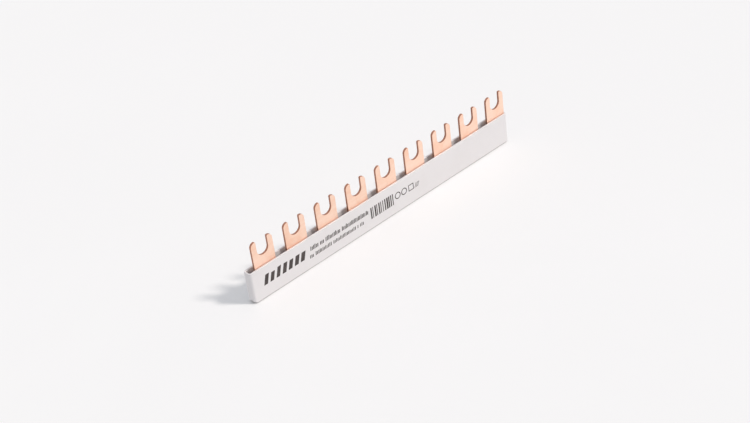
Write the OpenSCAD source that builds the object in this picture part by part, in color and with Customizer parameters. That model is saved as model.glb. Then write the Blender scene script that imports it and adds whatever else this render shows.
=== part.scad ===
// Single-pole comb busbar: a stamped copper comb with open forks, seated in a
// moulded insulating trough. The front of the trough faces -Y, the forks point
// up, and the origin is at the middle of the underside. Millimetres.

/* [Comb] */
// Number of forks, one for each device
fork_count = 9; // [2:1:12]
// Distance from one fork to the next
pitch = 17.8; // [17:0.1:27]
// Width of a fork
fork_w = 11.5; // [10:0.1:13]
// Height of the forks above the rim of the trough
fork_reach = 12.5; // [10:0.5:16]
// Width of the screw slot in a fork
slot_w = 6.1; // [4.5:0.1:6.5]
// Depth of the screw slot from the tips of the fork
slot_depth = 7.7; // [6:0.1:9]
// Rounding on the outer side of each tip
tip_outer_r = 2.1; // [0.5:0.1:2.1]
// Rounding on the slot side of each tip
tip_inner_r = 0.5; // [0.2:0.1:0.6]
// Thickness of the copper strip
copper_t = 1.1; // [0.8:0.1:1.5]
// Height of the rail that joins the forks
rail_h = 9; // [7:0.5:11]
// Length of rail left of the first fork
rail_tail = 3.1; // [0:0.1:4]
// Fillet where a fork grows out of the rail
root_r = 1; // [0.3:0.1:1.5]

/* [Trough] */
// Height of the trough
trough_h = 15.5; // [14.5:0.5:18]
// Thickness of the front and back walls
wall = 0.8; // [0.6:0.1:1.2]
// Thickness of the end walls
end_wall = 0.6; // [0.5:0.1:1]
// Thickness of the floor
floor_t = 1; // [0.8:0.1:1.5]
// Space between the front wall and the copper
front_gap = 0.3; // [0.2:0.1:0.8]
// Space between the copper and the back wall
back_gap = 1.5; // [1:0.1:3]
// Rounding of the upright edges
corner_r = 1.3; // [0.8:0.1:1.6]
// Rounding of the bottom corners of the ends, seen from the front
heel_r = 2.2; // [1:0.1:3]
// Rounding of the long bottom edges
edge_r = 0.5; // [0.2:0.1:0.7]
// Rounding inside, along the foot of the walls
inner_r = 0.3; // [0.1:0.1:0.4]

/* [Holding ribs] */
// Width of each rib along the rail
rib_w = 1.2; // [0.8:0.1:2]
// How far the snap nose reaches over the rail
nose_reach = 0.5; // [0.3:0.1:0.8]
// Height of the slope above the snap nose
nose_h = 1.4; // [1:0.1:2]
// Flat land on top of a rib, against its wall
rib_land = 0.6; // [0.3:0.1:0.9]

/* [Clearances] */
// Between each end of the comb and its end wall
end_play = 0.15; // [0.05:0.05:0.4]
// Between the copper and the ribs that hold it
grip_play = 0.02; // [0:0.01:0.1]
// Between the rail and the snap noses above it
nose_play = 0.1; // [0.05:0.05:0.3]

/* [Hidden] */
$fn = 64;

// Along X, from the left end of the trough
comb_x = end_wall + end_play;
comb_l = rail_tail + (fork_count - 1) * pitch + fork_w;
trough_l = comb_x + comb_l + end_play + end_wall;
fork_gap = pitch - fork_w;
function fork_x(i) = comb_x + rail_tail + i * pitch;

// Along Y, from the front of the trough
copper_y = wall + front_gap;
copper_back_y = copper_y + copper_t;
trough_t = copper_back_y + back_gap + wall;

// Along Z, from the underside
fork_top_z = trough_h + fork_reach;
comb_h = fork_top_z - floor_t;
nose_z = floor_t + rail_h + nose_play;
rib_top_z = nose_z + nose_h;

// Radii that follow from their neighbours
prong_w = (fork_w - slot_w) / 2;
prong_outer_r = min(tip_outer_r, prong_w - tip_inner_r);
inner_corner_r = corner_r - end_wall;
inner_heel_r = heel_r - end_wall;

// How far a cutter runs past what it cuts, and a rib into its wall
past = 1;
root_in = 0.3;

// What is cut away to round a corner that points to +X and +Y, from the centre of its arc
module corner_waste(r) {
    difference() {
        square(r + past);
        circle(r);
    }
}

// Rectangle with a radius for each corner: bottom left, bottom right, top right, top left
module round_rect(size, radii) {
    difference() {
        square(size);
        for (k = [0:3])
            if (radii[k] > 0)
                translate([k == 1 || k == 2 ? size[0] - radii[k] : radii[k],
                           k > 1 ? size[1] - radii[k] : radii[k]])
                    rotate(180 + 90 * k) corner_waste(radii[k]);
    }
}

// An outline in X and Z, given depth along Y from y = 0
module along_y(depth) {
    translate([0, depth, 0]) rotate([90, 0, 0]) linear_extrude(depth) children();
}

// An outline in Y and Z, given length along X from x = 0
module along_x(length) {
    rotate([90, 0, 90]) linear_extrude(length) children();
}

// Moves a piece from the corner that it is drawn from to the origin of the part
module seat() {
    translate([-trough_l / 2, -trough_t / 2, 0]) children();
}

// The screw slot, open at the tips, with the middle of its width at x = 0
module slot_outline() {
    translate([0, comb_h - slot_depth + slot_w / 2]) {
        circle(d = slot_w);
        translate([-slot_w / 2, 0]) square([slot_w, slot_depth + past]);
    }
}

// Rounds both sides of one prong tip, for the prong that lies left of its slot
module prong_tip_waste() {
    translate([prong_outer_r, comb_h - prong_outer_r]) rotate(90) corner_waste(prong_outer_r);
    translate([prong_w - tip_inner_r, comb_h - tip_inner_r]) corner_waste(tip_inner_r);
}

// One fork with the stretch of rail under it, its left foot at the origin
module fork_outline() {
    difference() {
        square([fork_w, comb_h]);
        translate([fork_w / 2, 0]) slot_outline();
        prong_tip_waste();
        translate([fork_w, 0]) mirror([1, 0]) prong_tip_waste();
    }
}

// The fillets in the gap right of a fork, with the gap's left side at x = 0
module gap_fillets() {
    for (side = [0, 1])
        translate([side * fork_gap, rail_h]) mirror([side, 0])
            difference() {
                square(root_r);
                translate([root_r, root_r]) circle(root_r);
            }
}

// The comb seen from the front, its left foot at the origin
module comb_outline() {
    round_rect([comb_l, rail_h], [inner_heel_r, inner_heel_r, 0, 0]);
    difference() {
        for (i = [0:fork_count - 1])
            translate([rail_tail + i * pitch, 0]) fork_outline();
        square([comb_l, rail_h / 2]);
    }
    for (i = [0:fork_count - 2])
        translate([rail_tail + i * pitch + fork_w, 0]) gap_fillets();
}

// Stamped copper strip: one rail and its forks
module copper_comb() {
    color([0.95, 0.66, 0.53])
        seat() translate([comb_x, copper_y, floor_t])
            along_y(copper_t) comb_outline();
}

// A closed block with the trough's roundings, from its own corner
module trough_block(size, plan_r, side_r, end_r) {
    intersection() {
        linear_extrude(size[2]) round_rect([size[0], size[1]], [plan_r, plan_r, plan_r, plan_r]);
        along_y(size[1]) round_rect([size[0], size[2]], [side_r, side_r, 0, 0]);
        along_x(size[0]) round_rect([size[1], size[2]], [end_r, end_r, 0, 0]);
    }
}

// Rib on the front wall that the copper lies against, seen from the end
module front_rib_profile() {
    polygon([
        [wall - root_in, floor_t - root_in],
        [copper_y - grip_play, floor_t - root_in],
        [copper_y - grip_play, rib_top_z - nose_h],
        [wall, rib_top_z],
        [wall - root_in, rib_top_z]
    ]);
}

// Rib on the back wall that presses the copper forward, with the nose that
// snaps over the rail, seen from the end
module back_rib_profile() {
    back_y = trough_t - wall;
    polygon([
        [copper_back_y + grip_play, floor_t - root_in],
        [back_y + root_in, floor_t - root_in],
        [back_y + root_in, rib_top_z],
        [back_y - rib_land, rib_top_z],
        [copper_back_y - nose_reach, nose_z],
        [copper_back_y + grip_play, nose_z]
    ]);
}

// A pair of ribs in the middle of each gap between two forks
module holding_ribs() {
    for (i = [0:fork_count - 2])
        translate([fork_x(i) + fork_w + (fork_gap - rib_w) / 2, 0, 0])
            along_x(rib_w) {
                front_rib_profile();
                back_rib_profile();
            }
}

// Moulded channel, open at the top and closed at both ends
module insulating_trough() {
    color([0.93, 0.92, 0.91])
        seat() {
            difference() {
                trough_block([trough_l, trough_t, trough_h], corner_r, heel_r, edge_r);
                translate([end_wall, wall, floor_t])
                    trough_block(
                        [trough_l - 2 * end_wall, trough_t - 2 * wall, trough_h],
                        inner_corner_r, inner_heel_r, inner_r
                    );
            }
            holding_ribs();
        }
}

copper_comb();
insulating_trough();
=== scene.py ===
"""Looks of the comb busbar: rolled copper forks in a white moulded trough."""
import math

import bmesh
import bpy
from mathutils import Matrix, Vector

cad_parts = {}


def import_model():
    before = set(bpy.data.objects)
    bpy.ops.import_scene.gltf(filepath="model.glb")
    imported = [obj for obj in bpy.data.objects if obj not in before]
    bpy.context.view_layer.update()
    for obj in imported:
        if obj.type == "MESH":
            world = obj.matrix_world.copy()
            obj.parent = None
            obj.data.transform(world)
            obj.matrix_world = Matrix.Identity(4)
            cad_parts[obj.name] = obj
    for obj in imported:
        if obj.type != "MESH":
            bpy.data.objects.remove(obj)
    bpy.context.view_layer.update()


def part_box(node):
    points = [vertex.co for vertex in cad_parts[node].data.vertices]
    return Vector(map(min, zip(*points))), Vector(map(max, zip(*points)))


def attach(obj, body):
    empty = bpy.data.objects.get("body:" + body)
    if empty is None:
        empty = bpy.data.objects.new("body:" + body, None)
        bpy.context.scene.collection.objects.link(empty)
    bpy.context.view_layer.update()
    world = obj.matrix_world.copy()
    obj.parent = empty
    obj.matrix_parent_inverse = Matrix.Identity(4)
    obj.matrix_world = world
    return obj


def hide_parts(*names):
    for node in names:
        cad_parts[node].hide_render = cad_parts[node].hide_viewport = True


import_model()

MM = 0.001
COMB_LOW, COMB_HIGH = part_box("copper_comb")
TROUGH_LOW, TROUGH_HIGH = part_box("insulating_trough")

# Comb, in metres
FORK_COUNT = 9
PITCH = 17.8 * MM
FORK_W = 11.5 * MM
SLOT_W = 6.1 * MM
SLOT_DEPTH = 7.7 * MM
TIP_OUTER_R = 2.1 * MM
TIP_INNER_R = 0.5 * MM
RAIL_H = 9.0 * MM
RAIL_TAIL = 3.1 * MM
ROOT_R = 1.0 * MM
TOE_R = 1.6 * MM
COPPER_T = COMB_HIGH.y - COMB_LOW.y
COMB_H = COMB_HIGH.z - COMB_LOW.z
FIRST_FORK = COMB_LOW.x + RAIL_TAIL

# Trough, in metres
TROUGH_H = TROUGH_HIGH.z
WALL = 0.8 * MM
END_WALL = 0.6 * MM
FLOOR_T = COMB_LOW.z
CORNER_R = 1.3 * MM
HEEL_R = 2.2 * MM
EDGE_R = 0.5 * MM
INNER_R = 0.3 * MM
RIM_R = 0.14 * MM
RIB_W = 1.2 * MM
NOSE_REACH = 0.5 * MM
NOSE_H = 1.4 * MM
NOSE_PLAY = 0.1 * MM
RIB_LAND = 0.6 * MM
ROOT_IN = 0.3 * MM
GRIP_PLAY = 0.02 * MM

# How far the print stands proud of the front
INK_T = 0.012 * MM

# Camera: place in metres, lens in mm on a 36 mm sensor, and angles in degrees
CAMERA_PLACE = (-0.34153, -0.40420, 0.36072)
CAMERA_LENS = 68.77
CAMERA_AZIMUTH = 39.658
CAMERA_DIP = 34.049
CAMERA_ROLL = 7.740


# ---------------------------------------------------------------- small tools

def link(obj):
    bpy.context.scene.collection.objects.link(obj)
    return obj


def mesh_object(name, verts, edges, faces):
    mesh = bpy.data.meshes.new(name)
    mesh.from_pydata(verts, edges, faces)
    mesh.update()
    return link(bpy.data.objects.new(name, mesh))


def arc(cx, cy, r, start, end, steps):
    """Points on a circle from one angle to another, in degrees, both ends included."""
    angles = [math.radians(start + (end - start) * k / steps) for k in range(steps + 1)]
    return [(cx + r * math.cos(a), cy + r * math.sin(a)) for a in angles]


def plain_mesh(obj, name):
    """What the modifiers of obj make, as a new object with a plain mesh, in place of obj."""
    graph = bpy.context.evaluated_depsgraph_get()
    mesh = bpy.data.meshes.new_from_object(
        obj.evaluated_get(graph), preserve_all_data_layers=True, depsgraph=graph
    )
    mesh.name = name
    made = link(bpy.data.objects.new(name, mesh))
    bpy.data.objects.remove(obj)
    return made


def soften_edges(obj, width, segments, angle):
    bevel = obj.modifiers.new("soft_edges", "BEVEL")
    bevel.width = width
    bevel.segments = segments
    bevel.limit_method = "ANGLE"
    bevel.angle_limit = math.radians(angle)
    bevel.use_clamp_overlap = False
    even = obj.modifiers.new("even_faces", "WEIGHTED_NORMAL")
    even.weight = 100
    even.keep_sharp = False


# ------------------------------------------------------------- node trees

def shape_tree(name, inputs):
    """A Geometry Nodes tree with named inputs, and its first and last node."""
    tree = bpy.data.node_groups.new(name, "GeometryNodeTree")
    tree.interface.new_socket("Geometry", in_out="INPUT", socket_type="NodeSocketGeometry")
    for label, kind in inputs:
        tree.interface.new_socket(label, in_out="INPUT", socket_type="NodeSocket" + kind)
    tree.interface.new_socket("Geometry", in_out="OUTPUT", socket_type="NodeSocketGeometry")
    return tree, tree.nodes.new("NodeGroupInput"), tree.nodes.new("NodeGroupOutput")


def grow(obj, tree, **values):
    """Puts the tree on obj, with each input set by its socket's identifier."""
    modifier = obj.modifiers.new(tree.name, "NODES")
    modifier.node_group = tree
    for item in tree.interface.items_tree:
        if item.item_type == "SOCKET" and item.in_out == "INPUT":
            key = item.name.lower().replace(" ", "_")
            if key in values:
                modifier[item.identifier] = values[key]
    return modifier


def wire(tree, *pairs):
    for out, into in pairs:
        tree.links.new(out, into)


def finish_tree(tree, geometry, material, last):
    """Ends a tree in Realize Instances and Set Material."""
    real = tree.nodes.new("GeometryNodeRealizeInstances")
    paint = tree.nodes.new("GeometryNodeSetMaterial")
    wire(
        tree,
        (geometry, real.inputs["Geometry"]),
        (real.outputs["Geometry"], paint.inputs["Geometry"]),
        (material, paint.inputs["Material"]),
        (paint.outputs["Geometry"], last.inputs["Geometry"]),
    )


def comb_tree():
    """Chains one fork outline along the rail, closes the loop and gives it its thickness."""
    tree, start, last = shape_tree("stamped_comb", [
        ("Fork", "Object"), ("Repeats", "Int"), ("Pitch", "Float"),
        ("Thickness", "Float"), ("Back", "Float"), ("Material", "Material"),
    ])
    new = tree.nodes.new
    fork = new("GeometryNodeObjectInfo")
    step = new("ShaderNodeCombineXYZ")
    places = new("GeometryNodeMeshLine")
    forks = new("GeometryNodeInstanceOnPoints")
    loose = new("GeometryNodeRealizeInstances")
    outline = new("GeometryNodeJoinGeometry")
    weld = new("GeometryNodeMergeByDistance")
    weld.inputs["Distance"].default_value = 0.002 * MM
    loop = new("GeometryNodeMeshToCurve")
    sheet = new("GeometryNodeFillCurve")
    sheet.mode = "NGONS"
    back = new("GeometryNodeFlipFaces")
    thick = new("GeometryNodeExtrudeMesh")
    thick.inputs["Individual"].default_value = False
    both = new("GeometryNodeJoinGeometry")
    close = new("GeometryNodeMergeByDistance")
    close.inputs["Distance"].default_value = 0.002 * MM
    lift = new("GeometryNodeTransform")
    lift.inputs["Rotation"].default_value = (math.radians(90), 0, 0)
    place = new("ShaderNodeCombineXYZ")
    smooth = new("GeometryNodeSetShadeSmooth")
    wire(
        tree,
        (start.outputs["Fork"], fork.inputs["Object"]),
        (start.outputs["Pitch"], step.inputs["X"]),
        (start.outputs["Repeats"], places.inputs["Count"]),
        (step.outputs["Vector"], places.inputs["Offset"]),
        (places.outputs["Mesh"], forks.inputs["Points"]),
        (fork.outputs["Geometry"], forks.inputs["Instance"]),
        (forks.outputs["Instances"], loose.inputs["Geometry"]),
        (start.outputs["Geometry"], outline.inputs["Geometry"]),
        (loose.outputs["Geometry"], outline.inputs["Geometry"]),
        (outline.outputs["Geometry"], weld.inputs["Geometry"]),
        (weld.outputs["Geometry"], loop.inputs["Mesh"]),
        (loop.outputs["Curve"], sheet.inputs["Curve"]),
        (sheet.outputs["Mesh"], back.inputs["Mesh"]),
        (sheet.outputs["Mesh"], thick.inputs["Mesh"]),
        (start.outputs["Thickness"], thick.inputs["Offset Scale"]),
        (back.outputs["Mesh"], both.inputs["Geometry"]),
        (thick.outputs["Mesh"], both.inputs["Geometry"]),
        (both.outputs["Geometry"], close.inputs["Geometry"]),
        (close.outputs["Geometry"], lift.inputs["Geometry"]),
        (start.outputs["Back"], place.inputs["Y"]),
        (place.outputs["Vector"], lift.inputs["Translation"]),
        (lift.outputs["Geometry"], smooth.inputs["Geometry"]),
    )
    finish_tree(tree, smooth.outputs["Geometry"], start.outputs["Material"], last)
    return tree


def rib_tree():
    """Adds the holding ribs to the trough, one pair in each gap between two forks."""
    tree, start, last = shape_tree("holding_ribs", [
        ("Ribs", "Object"), ("Count", "Int"), ("First", "Float"), ("Pitch", "Float"),
        ("Material", "Material"),
    ])
    new = tree.nodes.new
    ribs = new("GeometryNodeObjectInfo")
    first = new("ShaderNodeCombineXYZ")
    step = new("ShaderNodeCombineXYZ")
    places = new("GeometryNodeMeshLine")
    row = new("GeometryNodeInstanceOnPoints")
    whole = new("GeometryNodeJoinGeometry")
    wire(
        tree,
        (start.outputs["Ribs"], ribs.inputs["Object"]),
        (start.outputs["First"], first.inputs["X"]),
        (start.outputs["Pitch"], step.inputs["X"]),
        (start.outputs["Count"], places.inputs["Count"]),
        (first.outputs["Vector"], places.inputs["Start Location"]),
        (step.outputs["Vector"], places.inputs["Offset"]),
        (places.outputs["Mesh"], row.inputs["Points"]),
        (ribs.outputs["Geometry"], row.inputs["Instance"]),
        (start.outputs["Geometry"], whole.inputs["Geometry"]),
        (row.outputs["Instances"], whole.inputs["Geometry"]),
    )
    finish_tree(tree, whole.outputs["Geometry"], start.outputs["Material"], last)
    return tree


def bar_tree():
    """A printed row of upright or leaning bars, with even steps and seeded widths and heights."""
    tree, start, last = shape_tree("printed_bars", [
        ("Count", "Int"), ("Step", "Float"), ("Left", "Float"), ("Foot", "Float"),
        ("Front", "Float"), ("Ink", "Float"), ("Thin", "Float"), ("Wide", "Float"),
        ("Low", "Float"), ("High", "Float"), ("Lean", "Float"), ("Gaps", "Float"),
        ("Seed", "Int"), ("Material", "Material"),
    ])
    new = tree.nodes.new
    corner = new("ShaderNodeCombineXYZ")
    step = new("ShaderNodeCombineXYZ")
    places = new("GeometryNodeMeshLine")
    bar = new("GeometryNodeMeshCube")
    bar.inputs["Size"].default_value = (1, 1, 1)
    seat = new("GeometryNodeTransform")
    seat.inputs["Translation"].default_value = (0.5, -0.5, 0.5)
    width = new("FunctionNodeRandomValue")
    height = new("FunctionNodeRandomValue")
    gap = new("FunctionNodeRandomValue")
    gap.data_type = "BOOLEAN"
    shift = new("ShaderNodeMath")
    shift.operation = "ADD"
    shift.inputs[1].default_value = 11
    shift_gap = new("ShaderNodeMath")
    shift_gap.operation = "ADD"
    shift_gap.inputs[1].default_value = 23
    thin_out = new("GeometryNodeDeleteGeometry")
    size = new("ShaderNodeCombineXYZ")
    row = new("GeometryNodeInstanceOnPoints")
    loose = new("GeometryNodeRealizeInstances")
    place = new("GeometryNodeInputPosition")
    apart = new("ShaderNodeSeparateXYZ")
    above = new("ShaderNodeMath")
    above.operation = "SUBTRACT"
    push = new("ShaderNodeMath")
    push.operation = "MULTIPLY"
    slide = new("ShaderNodeCombineXYZ")
    lean = new("GeometryNodeSetPosition")
    whole = new("GeometryNodeJoinGeometry")
    wire(
        tree,
        (start.outputs["Left"], corner.inputs["X"]),
        (start.outputs["Front"], corner.inputs["Y"]),
        (start.outputs["Foot"], corner.inputs["Z"]),
        (start.outputs["Step"], step.inputs["X"]),
        (start.outputs["Count"], places.inputs["Count"]),
        (corner.outputs["Vector"], places.inputs["Start Location"]),
        (step.outputs["Vector"], places.inputs["Offset"]),
        (start.outputs["Thin"], width.inputs[2]),
        (start.outputs["Wide"], width.inputs[3]),
        (start.outputs["Seed"], width.inputs["Seed"]),
        (start.outputs["Low"], height.inputs[2]),
        (start.outputs["High"], height.inputs[3]),
        (start.outputs["Seed"], shift.inputs[0]),
        (shift.outputs[0], height.inputs["Seed"]),
        (start.outputs["Seed"], shift_gap.inputs[0]),
        (shift_gap.outputs[0], gap.inputs["Seed"]),
        (start.outputs["Gaps"], gap.inputs["Probability"]),
        (places.outputs["Mesh"], thin_out.inputs["Geometry"]),
        (gap.outputs[3], thin_out.inputs["Selection"]),
        (width.outputs[1], size.inputs["X"]),
        (start.outputs["Ink"], size.inputs["Y"]),
        (height.outputs[1], size.inputs["Z"]),
        (bar.outputs["Mesh"], seat.inputs["Geometry"]),
        (thin_out.outputs["Geometry"], row.inputs["Points"]),
        (seat.outputs["Geometry"], row.inputs["Instance"]),
        (size.outputs["Vector"], row.inputs["Scale"]),
        (row.outputs["Instances"], loose.inputs["Geometry"]),
        (place.outputs["Position"], apart.inputs["Vector"]),
        (apart.outputs["Z"], above.inputs[0]),
        (start.outputs["Foot"], above.inputs[1]),
        (above.outputs[0], push.inputs[0]),
        (start.outputs["Lean"], push.inputs[1]),
        (push.outputs[0], slide.inputs["X"]),
        (loose.outputs["Geometry"], lean.inputs["Geometry"]),
        (slide.outputs["Vector"], lean.inputs["Offset"]),
        (start.outputs["Geometry"], whole.inputs["Geometry"]),
        (lean.outputs["Geometry"], whole.inputs["Geometry"]),
    )
    finish_tree(tree, whole.outputs["Geometry"], start.outputs["Material"], last)
    return tree


# ------------------------------------------------------------- shared effects

def effect_group(name, inputs, outputs):
    """A shader node group with named inputs and outputs."""
    group = bpy.data.node_groups.new(name, "ShaderNodeTree")
    for label, kind, value in inputs:
        made = group.interface.new_socket(label, in_out="INPUT", socket_type="NodeSocket" + kind)
        if value is not None:
            made.default_value = value
    for label, kind in outputs:
        group.interface.new_socket(label, in_out="OUTPUT", socket_type="NodeSocket" + kind)
    return group, group.nodes.new("NodeGroupInput"), group.nodes.new("NodeGroupOutput")


def grain_group():
    """Fine grain that may be drawn out along an axis, as a height and as a mask round 0.5."""
    group, start, last = effect_group(
        "fine_grain",
        [("Vector", "Vector", None), ("Scale", "Float", 1000.0), ("Stretch", "Vector", (1, 1, 1)),
         ("Detail", "Float", 3.0)],
        [("Height", "Float"), ("Mask", "Float")],
    )
    draw = group.nodes.new("ShaderNodeVectorMath")
    draw.operation = "MULTIPLY"
    noise = group.nodes.new("ShaderNodeTexNoise")
    spread = group.nodes.new("ShaderNodeMapRange")
    spread.inputs["From Min"].default_value = 0.32
    spread.inputs["From Max"].default_value = 0.68
    wire(
        group,
        (start.outputs["Vector"], draw.inputs[0]),
        (start.outputs["Stretch"], draw.inputs[1]),
        (draw.outputs["Vector"], noise.inputs["Vector"]),
        (start.outputs["Scale"], noise.inputs["Scale"]),
        (start.outputs["Detail"], noise.inputs["Detail"]),
        (noise.outputs["Fac"], spread.inputs["Value"]),
        (noise.outputs["Fac"], last.inputs["Height"]),
        (spread.outputs["Result"], last.inputs["Mask"]),
    )
    return group


def handling_group():
    """Soft clouds with a few firmer patches, as handling and thin dust leave them."""
    group, start, last = effect_group(
        "handling",
        [("Vector", "Vector", None), ("Scale", "Float", 60.0), ("Amount", "Float", 1.0)],
        [("Mask", "Float")],
    )
    broad = group.nodes.new("ShaderNodeTexNoise")
    broad.inputs["Detail"].default_value = 5.0
    broad.inputs["Roughness"].default_value = 0.62
    broad.inputs["Distortion"].default_value = 0.6
    firm = group.nodes.new("ShaderNodeMapRange")
    firm.interpolation_type = "SMOOTHSTEP"
    firm.inputs["From Min"].default_value = 0.42
    firm.inputs["From Max"].default_value = 0.72
    share = group.nodes.new("ShaderNodeMath")
    share.operation = "MULTIPLY"
    wire(
        group,
        (start.outputs["Vector"], broad.inputs["Vector"]),
        (start.outputs["Scale"], broad.inputs["Scale"]),
        (broad.outputs["Fac"], firm.inputs["Value"]),
        (firm.outputs["Result"], share.inputs[0]),
        (start.outputs["Amount"], share.inputs[1]),
        (share.outputs[0], last.inputs["Mask"]),
    )
    return group


def edge_group():
    """How near a point is to an outer edge, from the turn of a rounded normal; the materials paint
    a highlight there.
    """
    group, start, last = effect_group(
        "edge_wear",
        [("Radius", "Float", 0.0001), ("Gain", "Float", 4.0)],
        [("Mask", "Float")],
    )
    rounded = group.nodes.new("ShaderNodeBevel")
    rounded.samples = 4
    true = group.nodes.new("ShaderNodeNewGeometry")
    match = group.nodes.new("ShaderNodeVectorMath")
    match.operation = "DOT_PRODUCT"
    turn = group.nodes.new("ShaderNodeMath")
    turn.operation = "SUBTRACT"
    turn.inputs[0].default_value = 1.0
    gain = group.nodes.new("ShaderNodeMath")
    gain.operation = "MULTIPLY"
    gain.use_clamp = True
    wire(
        group,
        (start.outputs["Radius"], rounded.inputs["Radius"]),
        (rounded.outputs["Normal"], match.inputs[0]),
        (true.outputs["Normal"], match.inputs[1]),
        (match.outputs["Value"], turn.inputs[1]),
        (turn.outputs[0], gain.inputs[0]),
        (start.outputs["Gain"], gain.inputs[1]),
        (gain.outputs[0], last.inputs["Mask"]),
    )
    return group


GRAIN = grain_group()
HANDLING = handling_group()
EDGE = edge_group()


def material(name):
    """A node material with a Principled BSDF, and the coordinates that its patterns read."""
    made = bpy.data.materials.new(name)
    made.use_nodes = True
    shader = made.node_tree.nodes["Principled BSDF"]
    coords = made.node_tree.nodes.new("ShaderNodeTexCoord")
    return made, made.node_tree, shader, coords.outputs["Object"]


def effect(tree, group, vector=None, **values):
    node = tree.nodes.new("ShaderNodeGroup")
    node.node_tree = group
    if vector is not None:
        tree.links.new(vector, node.inputs["Vector"])
    for key, value in values.items():
        node.inputs[key.capitalize()].default_value = value
    return node


def tint(tree, fac, low, high):
    """A colour that goes from low to high with fac."""
    mix = tree.nodes.new("ShaderNodeMix")
    mix.data_type = "RGBA"
    tree.links.new(fac, mix.inputs["Factor"])
    for socket, value in ((mix.inputs["A"], low), (mix.inputs["B"], high)):
        if isinstance(value, tuple):
            socket.default_value = (*value, 1)
        else:
            tree.links.new(value, socket)
    return mix.outputs["Result"]


def ramp(tree, fac, low, high, start=0.0, end=1.0):
    """A value that goes from low to high as fac goes from start to end."""
    node = tree.nodes.new("ShaderNodeMapRange")
    node.inputs["From Min"].default_value = start
    node.inputs["From Max"].default_value = end
    node.inputs["To Min"].default_value = low
    node.inputs["To Max"].default_value = high
    tree.links.new(fac, node.inputs["Value"])
    return node.outputs["Result"]


def within(tree, value, limit):
    """1 where the size of the value is under the limit, 0 past it."""
    size = tree.nodes.new("ShaderNodeMath")
    size.operation = "ABSOLUTE"
    tree.links.new(value, size.inputs[0])
    under = tree.nodes.new("ShaderNodeMath")
    under.operation = "LESS_THAN"
    tree.links.new(size.outputs[0], under.inputs[0])
    under.inputs[1].default_value = limit
    return under.outputs[0]


def product(tree, *values):
    """The values multiplied together."""
    total = values[0]
    for value in values[1:]:
        node = tree.nodes.new("ShaderNodeMath")
        node.operation = "MULTIPLY"
        tree.links.new(total, node.inputs[0])
        tree.links.new(value, node.inputs[1])
        total = node.outputs[0]
    return total


def bump(tree, shader, height, strength, distance, normal=None):
    node = tree.nodes.new("ShaderNodeBump")
    node.inputs["Strength"].default_value = strength
    node.inputs["Distance"].default_value = distance
    tree.links.new(height, node.inputs["Height"])
    if normal is not None:
        tree.links.new(normal, node.inputs["Normal"])
    tree.links.new(node.outputs["Normal"], shader.inputs["Normal"])
    return node.outputs["Normal"]


# ------------------------------------------------------------- materials

def copper_material():
    """Bright rolled copper on the broad faces, duller and darker on the edges cut in shearing,
    that darkness partly the rougher cut metal and partly painted shade; a painted highlight
    lightens the rounded edges.
    """
    made, tree, shader, place = material("rolled_copper")
    height = tree.nodes.new("ShaderNodeSeparateXYZ")
    tree.links.new(place, height.inputs["Vector"])
    metal = ramp(tree, height.outputs["Z"], 0.3, 1.0, TROUGH_H - 0.8 * MM, TROUGH_H + 1.2 * MM)
    tree.links.new(metal, shader.inputs["Metallic"])

    facing = tree.nodes.new("ShaderNodeNewGeometry")
    apart = tree.nodes.new("ShaderNodeSeparateXYZ")
    tree.links.new(facing.outputs["Normal"], apart.inputs["Vector"])
    across = tree.nodes.new("ShaderNodeMath")
    across.operation = "ABSOLUTE"
    tree.links.new(apart.outputs["Y"], across.inputs[0])
    broad = ramp(tree, across.outputs[0], 0.0, 1.0, 0.55, 0.9)

    lines = effect(tree, GRAIN, place, scale=900.0, stretch=(0.05, 1, 1), detail=3.0)
    clouds = effect(tree, HANDLING, place, scale=95.0)
    edge_highlight = effect(tree, EDGE, radius=0.06 * MM, gain=1.5)

    face = tint(tree, lines.outputs["Mask"], (0.985, 0.685, 0.545), (1.0, 0.73, 0.60))
    face = tint(tree, clouds.outputs["Mask"], face, (0.96, 0.63, 0.48))
    torn = effect(tree, GRAIN, place, scale=2600.0, stretch=(1, 0.25, 1), detail=2.0)
    # Edge colour: partly the duller cut copper, partly painted shade on the edges.
    cut_edge_and_shade = tint(tree, torn.outputs["Mask"], (0.34, 0.16, 0.112), (0.50, 0.26, 0.185))
    body = tint(tree, broad, cut_edge_and_shade, face)
    # Lighter copper along the rounded edges: a painted highlight.
    highlight_share = ramp(tree, edge_highlight.outputs["Mask"], 0.0, 0.35)
    tree.links.new(tint(tree, highlight_share, body, (1.0, 0.72, 0.58)), shader.inputs["Base Color"])

    rolled = ramp(tree, clouds.outputs["Mask"], 0.36, 0.5)
    rough = tree.nodes.new("ShaderNodeMix")
    tree.links.new(broad, rough.inputs["Factor"])
    rough.inputs["A"].default_value = 0.6
    tree.links.new(rolled, rough.inputs["B"])
    tree.links.new(rough.outputs["Result"], shader.inputs["Roughness"])
    fine = bump(tree, shader, lines.outputs["Height"], 0.18, 0.01 * MM)
    bump(tree, shader, torn.outputs["Height"], 0.12, 0.01 * MM, fine)
    return made


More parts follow.
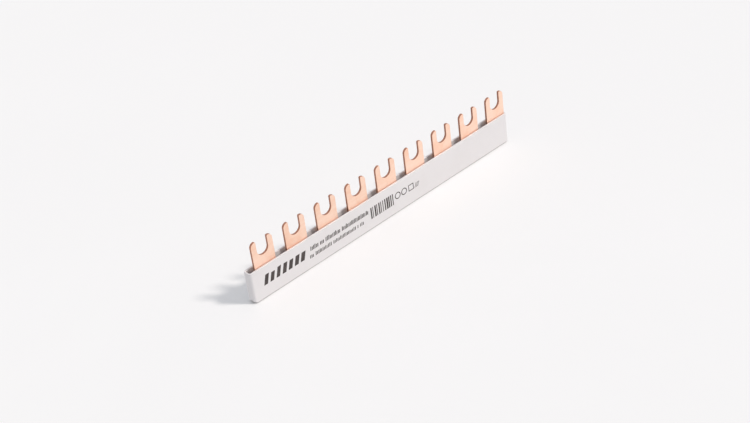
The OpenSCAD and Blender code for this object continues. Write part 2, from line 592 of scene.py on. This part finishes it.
def insulation_material():
    """Warm white moulded plastic with a fine matt skin and soft handling marks, with painted shade
    along the foot and deep inside, and a painted highlight on the rounded edges.
    """
    made, tree, shader, place = material("white_moulding")
    skin = effect(tree, GRAIN, place, scale=4200.0, detail=2.0)
    flow = effect(tree, GRAIN, place, scale=42.0, stretch=(0.35, 1, 1), detail=2.0)
    marks = effect(tree, HANDLING, place, scale=70.0)
    edge_highlight = effect(tree, EDGE, radius=0.15 * MM, gain=2.0)
    base = tint(tree, flow.outputs["Mask"], (0.775, 0.755, 0.765), (0.80, 0.78, 0.79))
    base = tint(tree, ramp(tree, marks.outputs["Mask"], 0.0, 0.35), base, (0.745, 0.72, 0.72))
    # Lighter along the rounded edges and the rim: a painted highlight.
    base = tint(tree, ramp(tree, edge_highlight.outputs["Mask"], 0.0, 0.5), base, (0.86, 0.845, 0.845))
    apart = tree.nodes.new("ShaderNodeSeparateXYZ")
    tree.links.new(place, apart.inputs["Vector"])
    # Dark band on the bottom rounding: painted contact shadow along the foot.
    foot = ramp(tree, apart.outputs["Z"], 1.0, 0.0, 0.30 * MM, 0.62 * MM)
    base = tint(tree, foot, base, (0.40, 0.37, 0.365))
    # Dark brown deep inside the trough: painted shade in the recess, tinted as by the copper's
    # reflected light.
    painted_deep_shade = product(
        tree,
        within(tree, apart.outputs["X"], TROUGH_HIGH.x - END_WALL + 0.1 * MM),
        within(tree, apart.outputs["Y"], TROUGH_HIGH.y - WALL + 0.1 * MM),
        ramp(tree, apart.outputs["Z"], 1.0, 0.0, TROUGH_H - 3.3 * MM, TROUGH_H - 2.0 * MM),
    )
    tree.links.new(tint(tree, painted_deep_shade, base, (0.24, 0.20, 0.18)), shader.inputs["Base Color"])
    tree.links.new(ramp(tree, marks.outputs["Mask"], 0.46, 0.6), shader.inputs["Roughness"])
    shader.inputs["Specular IOR Level"].default_value = 0.4
    wavy = bump(tree, shader, flow.outputs["Height"], 0.05, 0.2 * MM)
    bump(tree, shader, skin.outputs["Height"], 0.10, 0.01 * MM, wavy)
    return made


def ink_material():
    """Thin matt print, a little uneven where the plastic shows through."""
    made, tree, shader, place = material("dark_print")
    thin = effect(tree, GRAIN, place, scale=2400.0, detail=3.0)
    patchy = effect(tree, HANDLING, place, scale=600.0, amount=0.5)
    solid = tint(tree, thin.outputs["Mask"], (0.030, 0.020, 0.019), (0.052, 0.038, 0.036))
    tree.links.new(tint(tree, patchy.outputs["Mask"], solid, (0.10, 0.08, 0.075)),
                   shader.inputs["Base Color"])
    tree.links.new(ramp(tree, thin.outputs["Mask"], 0.42, 0.6), shader.inputs["Roughness"])
    bump(tree, shader, thin.outputs["Height"], 0.1, 0.004 * MM)
    return made


# ------------------------------------------------------------- copper comb

def fork_path():
    """Outline of one fork from its left side over both prongs to its right side, above the
    fillets, with the fork's left side at x = 0 and the rail's underside at y = 0."""
    prong = (FORK_W - SLOT_W) / 2
    top = COMB_H
    left = [(0, RAIL_H + ROOT_R)]
    left += arc(TIP_OUTER_R, top - TIP_OUTER_R, TIP_OUTER_R, 180, 90, 12)
    left += arc(prong - TIP_INNER_R, top - TIP_INNER_R, TIP_INNER_R, 90, 0, 6)
    slot = arc(FORK_W / 2, top - SLOT_DEPTH + SLOT_W / 2, SLOT_W / 2, 180, 360, 28)
    return left + slot + [(FORK_W - x, y) for x, y in reversed(left)]


def gap_path(x):
    """From the right side of a fork at x, down its fillet, along the rail and up the next one."""
    gap = PITCH - FORK_W
    down = arc(x + ROOT_R, RAIL_H + ROOT_R, ROOT_R, 180, 270, 6)
    up = arc(x + gap - ROOT_R, RAIL_H + ROOT_R, ROOT_R, 270, 360, 6)
    return down[1:] + up


def closing_path():
    """The last fork and the rail's ends and underside: all of the loop that isn't repeated."""
    last = (FORK_COUNT - 1) * PITCH
    right = last + FORK_W
    path = [(last + x, y) for x, y in fork_path()[:-1]]
    path += arc(right - TOE_R, TOE_R, TOE_R, 360, 270, 10)
    path += arc(-RAIL_TAIL + TOE_R, TOE_R, TOE_R, 270, 180, 10)
    path += [(-RAIL_TAIL, RAIL_H)]
    path += arc(-ROOT_R, RAIL_H + ROOT_R, ROOT_R, 270, 360, 6)
    return path


def outline_object(name, path):
    verts = [(FIRST_FORK + x, COMB_LOW.z + y, 0) for x, y in path]
    return mesh_object(name, verts, [(k, k + 1) for k in range(len(verts) - 1)], [])


def copper_comb(paint):
    fork = outline_object("fork_outline", fork_path() + gap_path(FORK_W))
    rail = outline_object("rail_outline", closing_path())
    grow(rail, comb_tree(), fork=fork, repeats=FORK_COUNT - 1, pitch=PITCH,
         thickness=COPPER_T, back=COMB_HIGH.y, material=paint)
    soften_edges(rail, 0.05 * MM, 2, 50)
    comb = plain_mesh(rail, "copper_forks")
    bpy.data.objects.remove(fork)
    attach(comb, "root")
    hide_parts("copper_comb")
    return comb


# ------------------------------------------------------------- trough

def drop(r, z):
    """How far a rounding of radius r stands in from its wall at height z above its foot."""
    return r - math.sqrt(max(0.0, r * r - (r - z) ** 2)) if z < r else 0.0


def ring(inset_x, inset_y, r, z):
    """Rounded rectangle at height z, set in from the outside of the trough."""
    hx = TROUGH_HIGH.x - inset_x
    hy = TROUGH_HIGH.y - inset_y
    r = min(r, hy - 0.05 * MM)
    points = []
    for cx, cy, start in ((hx - r, hy - r, 0), (r - hx, hy - r, 90),
                          (r - hx, r - hy, 180), (hx - r, r - hy, 270)):
        points += arc(cx, cy, r, start, start + 90, 8)
    return [(x, y, z) for x, y in points]


def heights(*radii):
    """Heights that draw roundings of these radii well, from the lowest up, without repeats."""
    found = {0.0}
    for r in radii:
        found |= {round(r * (1 - math.cos(math.radians(a))), 7) for a in range(10, 91, 10)}
    return sorted(found)


def trough_rings():
    """The outside from the underside up, over the rim, and the inside down to the floor."""
    rings = []
    for z in heights(EDGE_R, HEEL_R):
        plan_r = CORNER_R * (0.5 + 0.5 * min(1.0, z / HEEL_R))
        rings.append(ring(drop(HEEL_R, z), drop(EDGE_R, z), plan_r, z))
    for a in range(0, 91, 15):
        turn = math.radians(a)
        inset = RIM_R * (1 - math.cos(turn))
        z = TROUGH_H - RIM_R * (1 - math.sin(turn))
        rings.append(ring(inset, inset, CORNER_R - inset, z))
    inner_r = CORNER_R - END_WALL
    for a in range(90, -1, -15):
        turn = math.radians(a)
        out = RIM_R * (1 - math.cos(turn))
        z = TROUGH_H - RIM_R * (1 - math.sin(turn))
        rings.append(ring(END_WALL - out, WALL - out, inner_r + out, z))
    inner_heel = HEEL_R - END_WALL
    for z in reversed(heights(INNER_R, inner_heel)):
        rings.append(ring(END_WALL + drop(inner_heel, z), WALL + drop(INNER_R, z),
                          inner_r, FLOOR_T + z))
    return rings


def trough_shell():
    """One closed skin through all the rings, capped underneath and on the floor inside."""
    rings = trough_rings()
    count = len(rings[0])
    verts = [v for r in rings for v in r]
    faces = [list(range(count))]
    for k in range(len(rings) - 1):
        for i in range(count):
            j = (i + 1) % count
            faces.append([k * count + i, k * count + j, (k + 1) * count + j, (k + 1) * count + i])
    faces.append([(len(rings) - 1) * count + i for i in range(count)])
    shell = mesh_object("trough_skin", verts, [], faces)
    work = bmesh.new()
    work.from_mesh(shell.data)
    bmesh.ops.remove_doubles(work, verts=work.verts, dist=0.0005 * MM)
    bmesh.ops.recalc_face_normals(work, faces=work.faces)
    for face in work.faces:
        face.smooth = True
    work.to_mesh(shell.data)
    work.free()
    return shell


def profile_block(work, profile):
    """A closed block with this outline in Y and Z, half a rib to each side of x = 0."""
    near = [work.verts.new((-RIB_W / 2, y, z)) for y, z in profile]
    far = [work.verts.new((RIB_W / 2, y, z)) for y, z in profile]
    work.faces.new(near)
    work.faces.new(list(reversed(far)))
    for i in range(len(profile)):
        j = (i + 1) % len(profile)
        work.faces.new([near[j], near[i], far[i], far[j]])


def rib_pair():
    """The rib on the front wall and the rib with the snap nose on the back wall."""
    front = TROUGH_LOW.y + WALL
    back = TROUGH_HIGH.y - WALL
    foot = FLOOR_T - ROOT_IN
    nose = FLOOR_T + RAIL_H + NOSE_PLAY
    top = nose + NOSE_H
    work = bmesh.new()
    profile_block(work, [(front - ROOT_IN, foot), (COMB_LOW.y - GRIP_PLAY, foot),
                         (COMB_LOW.y - GRIP_PLAY, nose), (front, top), (front - ROOT_IN, top)])
    profile_block(work, [(COMB_HIGH.y + GRIP_PLAY, foot), (back + ROOT_IN, foot),
                         (back + ROOT_IN, top), (back - RIB_LAND, top),
                         (COMB_HIGH.y - NOSE_REACH, nose), (COMB_HIGH.y + GRIP_PLAY, nose)])
    bmesh.ops.recalc_face_normals(work, faces=work.faces)
    mesh = bpy.data.meshes.new("rib_pair")
    work.to_mesh(mesh)
    work.free()
    return link(bpy.data.objects.new("rib_pair", mesh))


def insulating_trough(paint):
    ribs = rib_pair()
    soften_edges(ribs, 0.05 * MM, 2, 30)
    ribs = plain_mesh(ribs, "rib_pair_soft")
    shell = trough_shell()
    even = shell.modifiers.new("even_faces", "WEIGHTED_NORMAL")
    even.weight = 100
    shell = plain_mesh(shell, "trough_even")
    middle = FIRST_FORK + FORK_W + (PITCH - FORK_W) / 2
    grow(shell, rib_tree(), ribs=ribs, count=FORK_COUNT - 1, first=middle, pitch=PITCH,
         material=paint)
    trough = plain_mesh(shell, "moulded_trough")
    bpy.data.objects.remove(ribs)
    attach(trough, "root")
    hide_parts("insulating_trough")
    return trough


# ------------------------------------------------------------- print

def flat_ring(work, cx, cz, outer, inner, steps):
    """A printed ring, or with 4 steps a square frame, proud of the front by the ink."""
    front = TROUGH_LOW.y
    turn = math.pi / steps
    loops = []
    for r, y in ((outer, front), (outer, front - INK_T), (inner, front - INK_T), (inner, front)):
        loops.append([
            work.verts.new((cx + r * math.cos(turn + 2 * math.pi * k / steps), y,
                            cz + r * math.sin(turn + 2 * math.pi * k / steps)))
            for k in range(steps)
        ])
    for a in range(4):
        one, two = loops[a], loops[(a + 1) % 4]
        for k in range(steps):
            n = (k + 1) % steps
            work.faces.new([one[k], one[n], two[n], two[k]])


def printed_marks(paint):
    """Plain bars, ticks, stripes and rings where such a part carries its print."""
    left = TROUGH_LOW.x
    work = bmesh.new()
    flat_ring(work, left + 85.2 * MM, 8.7 * MM, 1.75 * MM, 1.3 * MM, 32)
    flat_ring(work, left + 89.2 * MM, 8.7 * MM, 1.75 * MM, 1.3 * MM, 32)
    flat_ring(work, left + 93.6 * MM, 8.6 * MM, 2.3 * MM, 1.75 * MM, 4)
    bmesh.ops.recalc_face_normals(work, faces=work.faces)
    mesh = bpy.data.meshes.new("ring_marks")
    work.to_mesh(mesh)
    work.free()
    marks = link(bpy.data.objects.new("ring_marks", mesh))
    rows = [
        # count, step, left, foot, thin, wide, low, high, lean, gaps, seed
        (7, 3.4, 6.2, 6.3, 1.9, 2.3, 4.2, 5.1, 0.30, 0.0, 1),
        (44, 0.80, 31.9, 8.7, 0.42, 0.56, 1.6, 2.3, 0.12, 0.14, 2),
        (40, 0.80, 31.9, 5.1, 0.38, 0.50, 1.3, 1.9, 0.12, 0.16, 5),
        (12, 1.22, 68.4, 5.2, 0.35, 0.95, 5.8, 5.8, 0.0, 0.0, 4),
        (3, 0.9, 95.6, 7.0, 0.35, 0.35, 2.4, 2.4, 0.5, 0.0, 7),
    ]
    tree = bar_tree()
    for count, step, x, foot, thin, wide, low, high, lean, gaps, seed in rows:
        grow(marks, tree, count=count, step=step * MM, left=left + x * MM, foot=foot * MM,
             front=TROUGH_LOW.y, ink=INK_T, thin=thin * MM, wide=wide * MM, low=low * MM,
             high=high * MM, lean=lean, gaps=gaps, seed=seed, material=paint)
    marks = plain_mesh(marks, "printed_marks")
    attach(marks, "root")
    return marks


# ------------------------------------------------------------- studio

def floor():
    made, tree, shader, place = material("pale_floor")
    shader.inputs["Roughness"].default_value = 0.9
    shader.inputs["Specular IOR Level"].default_value = 0.1
    paper = effect(tree, HANDLING, place, scale=3.0)
    tree.links.new(tint(tree, paper.outputs["Mask"], (0.915, 0.918, 0.926), (0.925, 0.928, 0.936)),
                   shader.inputs["Base Color"])
    path = tree.nodes.new("ShaderNodeLightPath")
    mirror = tree.nodes.new("ShaderNodeMath")
    mirror.operation = "MAXIMUM"
    glow = tree.nodes.new("ShaderNodeEmission")
    glow.inputs["Color"].default_value = (1.0, 0.985, 0.97, 1)
    glow.inputs["Strength"].default_value = 1.07
    mix = tree.nodes.new("ShaderNodeMixShader")
    wire(
        tree,
        (path.outputs["Is Glossy Ray"], mirror.inputs[0]),
        (path.outputs["Is Transmission Ray"], mirror.inputs[1]),
        (mirror.outputs[0], mix.inputs["Fac"]),
        (shader.outputs["BSDF"], mix.inputs[1]),
        (glow.outputs["Emission"], mix.inputs[2]),
        (mix.outputs["Shader"], tree.nodes["Material Output"].inputs["Surface"]),
    )
    half = 4.0
    plane = mesh_object("floor", [(-half, -half, 0), (half, -half, 0), (half, half, 0),
                                  (-half, half, 0)], [], [(0, 1, 2, 3)])
    plane.data.materials.append(made)
    return plane


def world():
    """An even pale room: dimmer as a light than as what the camera and the metal see."""
    room = bpy.data.worlds.new("studio")
    room.use_nodes = True
    bpy.context.scene.world = room
    tree = room.node_tree
    light = tree.nodes["Background"]
    light.inputs["Color"].default_value = (0.95, 0.965, 1.0, 1)
    way = tree.nodes.new("ShaderNodeTexCoord")
    apart = tree.nodes.new("ShaderNodeSeparateXYZ")
    tree.links.new(way.outputs["Generated"], apart.inputs["Vector"])
    tree.links.new(ramp(tree, apart.outputs["Z"], 0.24, 0.86), light.inputs["Strength"])
    seen = tree.nodes.new("ShaderNodeBackground")
    seen.inputs["Color"].default_value = (1.0, 0.985, 0.97, 1)
    seen.inputs["Strength"].default_value = 1.0
    path = tree.nodes.new("ShaderNodeLightPath")
    first = tree.nodes.new("ShaderNodeMath")
    first.operation = "MAXIMUM"
    second = tree.nodes.new("ShaderNodeMath")
    second.operation = "MAXIMUM"
    mix = tree.nodes.new("ShaderNodeMixShader")
    wire(
        tree,
        (path.outputs["Is Camera Ray"], first.inputs[0]),
        (path.outputs["Is Glossy Ray"], first.inputs[1]),
        (first.outputs[0], second.inputs[0]),
        (path.outputs["Is Transmission Ray"], second.inputs[1]),
        (second.outputs[0], mix.inputs["Fac"]),
        (light.outputs["Background"], mix.inputs[1]),
        (seen.outputs["Background"], mix.inputs[2]),
        (mix.outputs["Shader"], tree.nodes["World Output"].inputs["Surface"]),
    )


def key_light(azimuth, elevation, width, strength, colour):
    """A broad sun seen from the object at this azimuth, from -Y towards +X, and elevation."""
    data = bpy.data.lights.new("key", "SUN")
    data.angle = math.radians(width)
    data.energy = strength
    data.color = colour
    lamp = link(bpy.data.objects.new("key", data))
    a, e = math.radians(azimuth), math.radians(elevation)
    way = Vector((math.sin(a) * math.cos(e), -math.cos(a) * math.cos(e), math.sin(e)))
    lamp.location = way
    lamp.rotation_euler = way.to_track_quat("Z", "Y").to_euler()


def camera():
    """Looks along the row from its left end, from the front and above, with a slight roll."""
    data = bpy.data.cameras.new("camera")
    data.sensor_width = 36
    data.lens = CAMERA_LENS
    data.clip_start = 0.01
    cam = link(bpy.data.objects.new("camera", data))
    turn = Matrix.Rotation(math.radians(-CAMERA_AZIMUTH), 4, "Z")
    tilt = Matrix.Rotation(math.radians(90 - CAMERA_DIP), 4, "X")
    roll = Matrix.Rotation(math.radians(-CAMERA_ROLL), 4, "Z")
    place = Matrix.Translation(CAMERA_PLACE)
    cam.matrix_world = place @ turn @ tilt @ roll
    bpy.context.scene.camera = cam


camera()
floor()
world()
key_light(azimuth=38, elevation=45.5, width=9, strength=1.72, colour=(1.0, 0.935, 0.87))
bpy.context.scene.view_settings.view_transform = "Standard"

copper_comb(copper_material())
insulating_trough(insulation_material())
printed_marks(ink_material())
